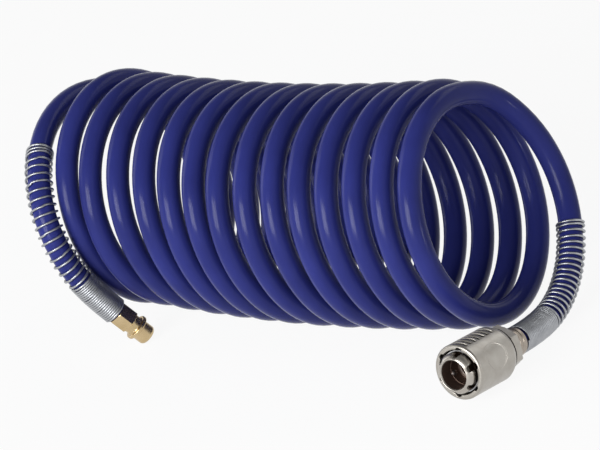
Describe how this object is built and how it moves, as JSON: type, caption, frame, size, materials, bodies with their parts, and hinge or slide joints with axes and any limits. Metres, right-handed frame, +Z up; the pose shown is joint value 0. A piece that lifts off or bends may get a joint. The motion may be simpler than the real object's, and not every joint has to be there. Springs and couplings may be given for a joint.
{
  "type": "coiled air hose",
  "caption": "Self-storing coiled air hose in dark blue nylon with bend-guard springs, a brass quick plug and a nickel-plated quick coupler.",
  "frame": {"origin": "middle of the resting part's footprint, on the surface it lies on", "axes": "+X along the coil's axis towards the coupler, +Y away from the side where both ends come forward, +Z up"},
  "size_m": [0.2833, 0.1302, 0.107],
  "materials": {
    "hose": "satin",
    "guard_steel": "zinc plated",
    "plug_brass": "turned",
    "coupler_nickel": "nickel plated",
    "ferrule_steel": "bronze-toned plating",
    "spring_steel": "plain",
    "ball_steel": "polished",
    "valve_brass": "dark",
    "seal_rubber": "matt"
  },
  "bodies": {
    "hose_and_coupler": {"hose_coil": "hose", "hose_tail_socket": "hose", "socket_spring_guard": "guard_steel", "socket_rear_adapter": "coupler_nickel", "socket_ferrule": "ferrule_steel", "socket_body": "coupler_nickel", "sleeve_stop_ring": "spring_steel", "spring_washer": "spring_steel", "plug_seal": "seal_rubber", "adapter_seal": "seal_rubber", "sleeve_spring": "spring_steel", "valve_spring": "spring_steel"},
    "plug_end": {"hose_tail_plug": "hose", "plug_spring_guard": "guard_steel", "plug_body": "plug_brass"},
    "sleeve": {"socket_sleeve": "coupler_nickel"},
    "valve": {"valve_poppet": "valve_brass", "valve_seal": "seal_rubber"},
    "lock_ball_1_body": {"lock_ball_1": "ball_steel"},
    "lock_ball_2_body": {"lock_ball_2": "ball_steel"},
    "lock_ball_3_body": {"lock_ball_3": "ball_steel"},
    "lock_ball_4_body": {"lock_ball_4": "ball_steel"}
  },
  "joints": [
    {"name": "coil_stretch", "type": "slide", "parent": "hose_and_coupler", "child": "plug_end", "axis": [-1, 0, 0], "range_m": [0, 1], "stiffness_N_per_m": 8, "deforming": ["hose_coil"]},
    {"name": "sleeve_slide", "type": "slide", "parent": "hose_and_coupler", "child": "sleeve", "axis": [-0.113, 0.9775, -0.1781], "range_m": [0, 0.004], "stiffness_N_per_m": 2000, "springref_m": -0.003, "deforming": ["sleeve_spring"]},
    {"name": "valve_slide", "type": "slide", "parent": "hose_and_coupler", "child": "valve", "axis": [-0.113, 0.9775, -0.1781], "range_m": [0, 0.0032], "stiffness_N_per_m": 1000, "springref_m": -0.002, "deforming": ["valve_spring"]},
    {"name": "lock_ball_1_slide", "type": "slide", "parent": "hose_and_coupler", "child": "lock_ball_1_body", "axis": [0.952, 0.1578, 0.2623], "range_m": [0, 0.0008]},
    {"name": "lock_ball_2_slide", "type": "slide", "parent": "hose_and_coupler", "child": "lock_ball_2_body", "axis": [-0.2845, 0.1399, 0.9484], "range_m": [0, 0.0008]},
    {"name": "lock_ball_3_slide", "type": "slide", "parent": "hose_and_coupler", "child": "lock_ball_3_body", "axis": [-0.952, -0.1578, -0.2623], "range_m": [0, 0.0008]},
    {"name": "lock_ball_4_slide", "type": "slide", "parent": "hose_and_coupler", "child": "lock_ball_4_body", "axis": [0.2845, -0.1399, -0.9484], "range_m": [0, 0.0008]}
  ],
  "couplings": [
    {"joint": "lock_ball_1_slide", "follows": "sleeve_slide", "ratio": 0.2},
    {"joint": "lock_ball_2_slide", "follows": "sleeve_slide", "ratio": 0.2},
    {"joint": "lock_ball_3_slide", "follows": "sleeve_slide", "ratio": 0.2},
    {"joint": "lock_ball_4_slide", "follows": "sleeve_slide", "ratio": 0.2}
  ]
}
